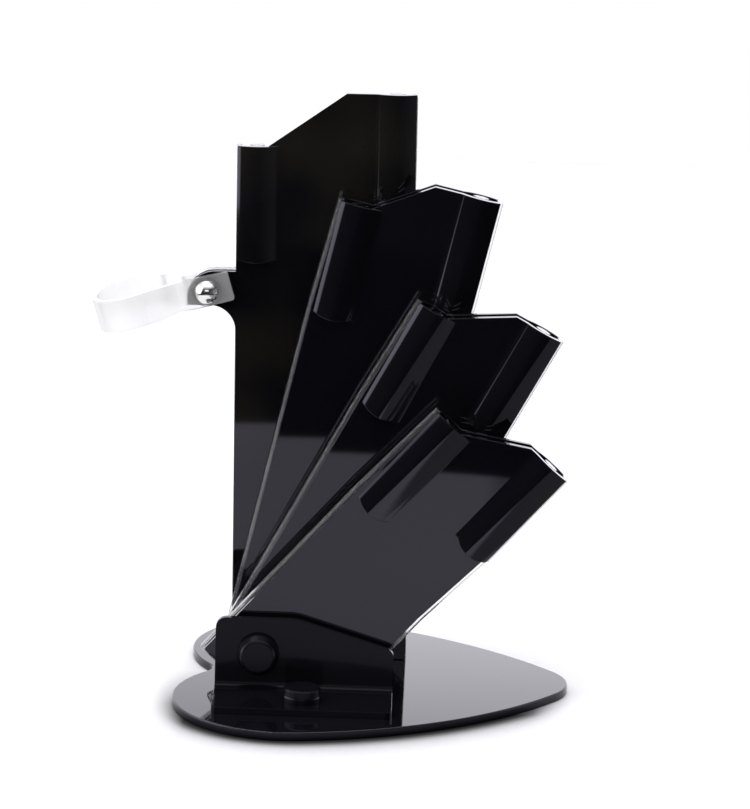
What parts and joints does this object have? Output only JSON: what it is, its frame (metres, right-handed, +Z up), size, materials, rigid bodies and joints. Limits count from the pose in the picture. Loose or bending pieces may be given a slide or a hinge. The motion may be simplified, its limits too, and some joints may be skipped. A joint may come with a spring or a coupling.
{
  "type": "fan knife block",
  "caption": "Fan-shaped desk-top knife block: flat black sheaths turning on one bolt between brackets on a heart-shaped base, with a side ring for a peeler.",
  "frame": {"origin": "on the resting plane, under the middle of the whole object's bounding box", "axes": "+Z up; +X towards the side the sheaths fan out to, which is also the base's tip; +Y from the short front sheath to the tall rear sheath; the pivot bolt runs along Y"},
  "size_m": [0.225, 0.1748, 0.2698],
  "materials": {
    "black_acrylic": "polished",
    "clear_acrylic": "polished",
    "milky_plastic": "satin",
    "black_cap": "satin",
    "steel": "polished"
  },
  "bodies": {
    "stand": {"base_plate": "black_acrylic", "front_bracket": "black_acrylic", "rear_bracket": "black_acrylic", "pivot_bolt": "steel", "pivot_nut": "steel", "front_pivot_cap": "black_cap", "rear_pivot_cap": "black_cap", "pivot_spacers": "clear_acrylic", "flange_screws": "steel", "flange_nuts": "steel", "flange_caps": "black_cap", "ring_screw": "steel", "ring_nut": "steel", "sheath_1_front_panel": "black_acrylic", "sheath_1_rear_panel": "black_acrylic", "sheath_1_spacer": "clear_acrylic", "sheath_1_posts": "clear_acrylic"},
    "sheath_2": {"sheath_2_front_panel": "black_acrylic", "sheath_2_rear_panel": "black_acrylic", "sheath_2_spacer": "clear_acrylic", "sheath_2_posts": "clear_acrylic"},
    "sheath_3": {"sheath_3_front_panel": "black_acrylic", "sheath_3_rear_panel": "black_acrylic", "sheath_3_spacer": "clear_acrylic", "sheath_3_posts": "clear_acrylic"},
    "sheath_4": {"sheath_4_front_panel": "black_acrylic", "sheath_4_rear_panel": "black_acrylic", "sheath_4_spacer": "clear_acrylic", "sheath_4_posts": "clear_acrylic"},
    "peeler_ring": {"peeler_ring": "milky_plastic", "ring_washer": "clear_acrylic"}
  },
  "joints": [
    {"name": "sheath_2_pivot", "type": "hinge", "parent": "stand", "child": "sheath_2", "pos_m": [-0.0288, 0.01305, 0.0225], "axis": [0, 1, 0], "range_deg": [-12.5, 0]},
    {"name": "sheath_3_pivot", "type": "hinge", "parent": "stand", "child": "sheath_3", "pos_m": [-0.0288, -0.00395, 0.0225], "axis": [0, 1, 0], "range_deg": [-27.9, 0]},
    {"name": "sheath_4_pivot", "type": "hinge", "parent": "stand", "child": "sheath_4", "pos_m": [-0.0288, -0.02095, 0.0225], "axis": [0, 1, 0], "range_deg": [-41.3, 0]},
    {"name": "peeler_ring_pivot", "type": "hinge", "parent": "stand", "child": "peeler_ring", "pos_m": [-0.05852, 0.03005, 0.17652], "axis": [0, 1, 0], "range_deg": [-70, 70]}
  ]
}
